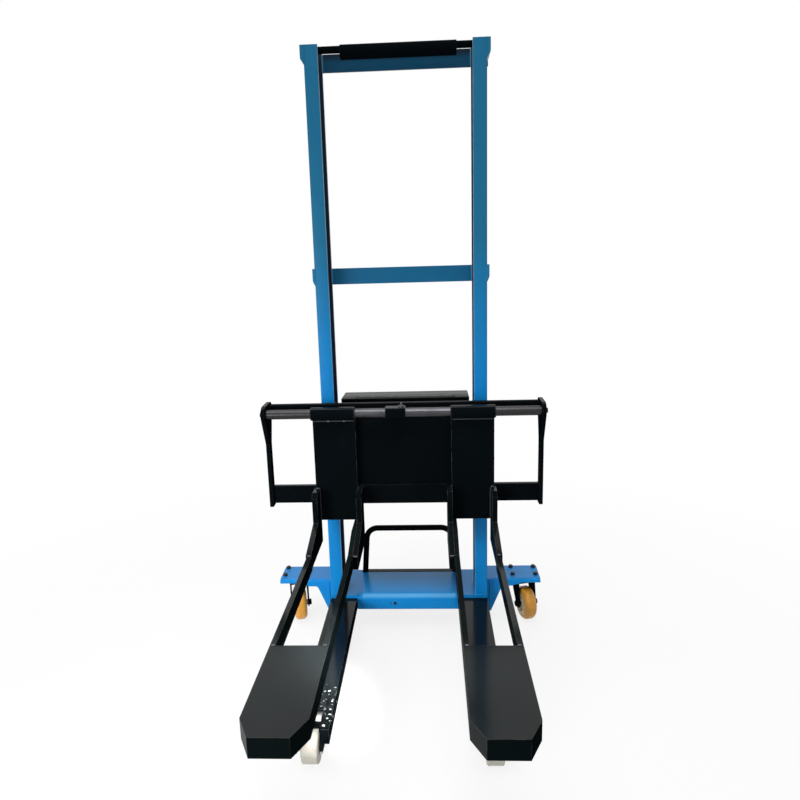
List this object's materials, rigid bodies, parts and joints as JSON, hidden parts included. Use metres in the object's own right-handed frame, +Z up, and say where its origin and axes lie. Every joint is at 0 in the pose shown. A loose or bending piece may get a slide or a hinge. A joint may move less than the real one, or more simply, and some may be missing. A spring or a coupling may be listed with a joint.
{
  "type": "self-loading pallet stacker",
  "caption": "Upright pallet stacker: channel mast, powered lifting carriage with fold-up forks, straddle legs on tandem rollers and swivel casters at the rear.",
  "frame": {"origin": "on the floor under the middle of the bounding box", "axes": "+X to the right of someone who faces the fork tips, -Y towards the fork tips, +Z up"},
  "size_m": [0.802, 1.129, 1.6483],
  "materials": {
    "blue_paint": "gloss",
    "black_paint": "satin",
    "charcoal_paint": "satin",
    "black_steel": "satin",
    "bright_steel": "satin",
    "chain_steel": "satin",
    "black_nylon": "matte",
    "gold_tyre": "satin",
    "cream_hub": "satin",
    "nylon": "satin",
    "motor_grey": "satin",
    "battery_case": "matte",
    "panel_grey": "satin",
    "green_button": "gloss",
    "white_button": "gloss",
    "red_button": "gloss",
    "key_metal": "polished"
  },
  "bodies": {
    "mast": {"base_frame": "blue_paint", "left_column": "blue_paint", "right_column": "blue_paint", "top_crossbar": "blue_paint", "mid_crossbar": "blue_paint", "left_caster_arm": "blue_paint", "right_caster_arm": "blue_paint", "left_leg": "black_paint", "right_leg": "black_paint", "frame_bolts": "black_steel", "caster_plates": "black_steel", "bogie_pins": "black_steel", "guard_hoop": "black_paint", "gearmotor": "motor_grey", "shaft_bearings": "bright_steel", "top_wheel_axles": "bright_steel", "lift_chains": "chain_steel", "top_rod": "black_paint", "power_box": "black_paint", "control_panel": "panel_grey", "battery": "battery_case"},
    "carriage": {"carriage_frame": "black_paint", "fork_shaft": "bright_steel", "centre_plate": "black_paint", "shaft_bracket": "black_paint", "latch_bolt": "bright_steel", "guide_pins": "bright_steel"},
    "drive_shaft": {"drive_shaft": "bright_steel"},
    "top_sleeve": {"top_sleeve": "black_paint"},
    "up_button": {"up_button": "green_button"},
    "down_button": {"down_button": "white_button"},
    "stop_button": {"stop_button": "red_button"},
    "key_switch": {"key_switch": "key_metal"},
    "left_top_chain_wheel": {"left_top_chain_wheel": "bright_steel"},
    "left_lower_guide_roller": {"left_lower_guide_roller": "bright_steel"},
    "left_upper_guide_roller": {"left_upper_guide_roller": "bright_steel"},
    "left_caster_yoke": {"left_caster_yoke": "black_steel"},
    "left_caster_wheel": {"left_caster_hub": "cream_hub", "left_caster_tyre": "gold_tyre"},
    "left_bogie": {"left_bogie": "black_paint", "left_roller_axles": "bright_steel"},
    "left_front_roller": {"left_front_roller": "nylon"},
    "left_rear_roller": {"left_rear_roller": "nylon"},
    "left_fork_bush": {"left_fork_bush": "black_nylon"},
    "left_fork": {"left_fork_back": "black_paint", "left_fork_blade": "charcoal_paint"},
    "right_top_chain_wheel": {"right_top_chain_wheel": "bright_steel"},
    "right_lower_guide_roller": {"right_lower_guide_roller": "bright_steel"},
    "right_upper_guide_roller": {"right_upper_guide_roller": "bright_steel"},
    "right_caster_yoke": {"right_caster_yoke": "black_steel"},
    "right_caster_wheel": {"right_caster_hub": "cream_hub", "right_caster_tyre": "gold_tyre"},
    "right_bogie": {"right_bogie": "black_paint", "right_roller_axles": "bright_steel"},
    "right_front_roller": {"right_front_roller": "nylon"},
    "right_rear_roller": {"right_rear_roller": "nylon"},
    "right_fork_bush": {"right_fork_bush": "black_nylon"},
    "right_fork": {"right_fork_back": "black_paint", "right_fork_blade": "charcoal_paint"}
  },
  "joints": [
    {"name": "carriage_lift", "type": "slide", "parent": "mast", "child": "carriage", "axis": [0, 0, 1], "range_m": [-0.215, 0.85]},
    {"name": "drive_shaft_turn", "type": "hinge", "parent": "mast", "child": "drive_shaft", "pos_m": [0, 0.3935, 0.084], "axis": [1, 0, 0], "continuous": true},
    {"name": "top_sleeve_turn", "type": "hinge", "parent": "mast", "child": "top_sleeve", "pos_m": [0.008, 0.3755, 1.6303], "axis": [1, 0, 0], "continuous": true},
    {"name": "left_top_chain_wheel_turn", "type": "hinge", "parent": "mast", "child": "left_top_chain_wheel", "pos_m": [-0.223, 0.3935, 1.597], "axis": [1, 0, 0], "continuous": true},
    {"name": "left_lower_guide_roller_turn", "type": "hinge", "parent": "carriage", "child": "left_lower_guide_roller", "pos_m": [-0.207, 0.3935, 0.47], "axis": [1, 0, 0], "continuous": true},
    {"name": "left_upper_guide_roller_turn", "type": "hinge", "parent": "carriage", "child": "left_upper_guide_roller", "pos_m": [-0.207, 0.3935, 0.67], "axis": [1, 0, 0], "continuous": true},
    {"name": "left_caster_swivel", "type": "hinge", "parent": "mast", "child": "left_caster_yoke", "pos_m": [-0.354, 0.4535, 0.143], "axis": [0, 0, 1], "continuous": true},
    {"name": "left_caster_roll", "type": "hinge", "parent": "left_caster_yoke", "child": "left_caster_wheel", "pos_m": [-0.34701, 0.42742, 0.05], "axis": [0.9659, 0.2588, 0], "continuous": true},
    {"name": "left_bogie_rock", "type": "hinge", "parent": "mast", "child": "left_bogie", "pos_m": [-0.204, -0.1455, 0.059], "axis": [1, 0, 0], "range_deg": [-6, 6]},
    {"name": "left_front_roller_turn", "type": "hinge", "parent": "left_bogie", "child": "left_front_roller", "pos_m": [-0.204, -0.1835, 0.035], "axis": [1, 0, 0], "continuous": true},
    {"name": "left_rear_roller_turn", "type": "hinge", "parent": "left_bogie", "child": "left_rear_roller", "pos_m": [-0.204, -0.1075, 0.035], "axis": [1, 0, 0], "continuous": true},
    {"name": "left_fork_shift", "type": "slide", "parent": "carriage", "child": "left_fork_bush", "axis": [1, 0, 0], "range_m": [-0.07, 0.07]},
    {"name": "left_fork_fold", "type": "hinge", "parent": "left_fork_bush", "child": "left_fork", "pos_m": [-0.188, 0.2535, 0.6995], "axis": [-1, 0, 0], "range_deg": [0, 90]},
    {"name": "right_top_chain_wheel_turn", "type": "hinge", "parent": "mast", "child": "right_top_chain_wheel", "pos_m": [0.223, 0.3935, 1.597], "axis": [1, 0, 0], "continuous": true},
    {"name": "right_lower_guide_roller_turn", "type": "hinge", "parent": "carriage", "child": "right_lower_guide_roller", "pos_m": [0.207, 0.3935, 0.47], "axis": [1, 0, 0], "continuous": true},
    {"name": "right_upper_guide_roller_turn", "type": "hinge", "parent": "carriage", "child": "right_upper_guide_roller", "pos_m": [0.207, 0.3935, 0.67], "axis": [1, 0, 0], "continuous": true},
    {"name": "right_caster_swivel", "type": "hinge", "parent": "mast", "child": "right_caster_yoke", "pos_m": [0.354, 0.4535, 0.143], "axis": [0, 0, 1], "continuous": true},
    {"name": "right_caster_roll", "type": "hinge", "parent": "right_caster_yoke", "child": "right_caster_wheel", "pos_m": [0.36099, 0.42742, 0.05], "axis": [0.9659, 0.2588, 0], "continuous": true},
    {"name": "right_bogie_rock", "type": "hinge", "parent": "mast", "child": "right_bogie", "pos_m": [0.204, -0.1455, 0.059], "axis": [1, 0, 0], "range_deg": [-6, 6]},
    {"name": "right_front_roller_turn", "type": "hinge", "parent": "right_bogie", "child": "right_front_roller", "pos_m": [0.204, -0.1835, 0.035], "axis": [1, 0, 0], "continuous": true},
    {"name": "right_rear_roller_turn", "type": "hinge", "parent": "right_bogie", "child": "right_rear_roller", "pos_m": [0.204, -0.1075, 0.035], "axis": [1, 0, 0], "continuous": true},
    {"name": "right_fork_shift", "type": "slide", "parent": "carriage", "child": "right_fork_bush", "axis": [1, 0, 0], "range_m": [-0.07, 0.07]},
    {"name": "right_fork_fold", "type": "hinge", "parent": "right_fork_bush", "child": "right_fork", "pos_m": [0.188, 0.2535, 0.6995], "axis": [-1, 0, 0], "range_deg": [0, 90]},
    {"name": "up_button_press", "type": "slide", "parent": "mast", "child": "up_button", "axis": [0, -1, 0], "range_m": [0, 0.003], "stiffness_N_per_m": 500, "springref_m": -0.002},
    {"name": "down_button_press", "type": "slide", "parent": "mast", "child": "down_button", "axis": [0, -1, 0], "range_m": [0, 0.003], "stiffness_N_per_m": 500, "springref_m": -0.002},
    {"name": "stop_button_press", "type": "slide", "parent": "mast", "child": "stop_button", "axis": [0, -1, 0], "range_m": [0, 0.005], "stiffness_N_per_m": 800, "springref_m": -0.002},
    {"name": "key_turn", "type": "hinge", "parent": "mast", "child": "key_switch", "pos_m": [0.095, 0.5485, 0.64], "axis": [0, 1, 0], "range_deg": [0, 90]}
  ],
  "couplings": [
    {"joint": "drive_shaft_turn", "follows": "carriage_lift", "rad_per_m": -50},
    {"joint": "left_top_chain_wheel_turn", "follows": "carriage_lift", "rad_per_m": -50},
    {"joint": "left_lower_guide_roller_turn", "follows": "carriage_lift", "rad_per_m": -30.303},
    {"joint": "left_upper_guide_roller_turn", "follows": "carriage_lift", "rad_per_m": 30.303},
    {"joint": "right_top_chain_wheel_turn", "follows": "carriage_lift", "rad_per_m": -50},
    {"joint": "right_lower_guide_roller_turn", "follows": "carriage_lift", "rad_per_m": -30.303},
    {"joint": "right_upper_guide_roller_turn", "follows": "carriage_lift", "rad_per_m": 30.303}
  ]
}
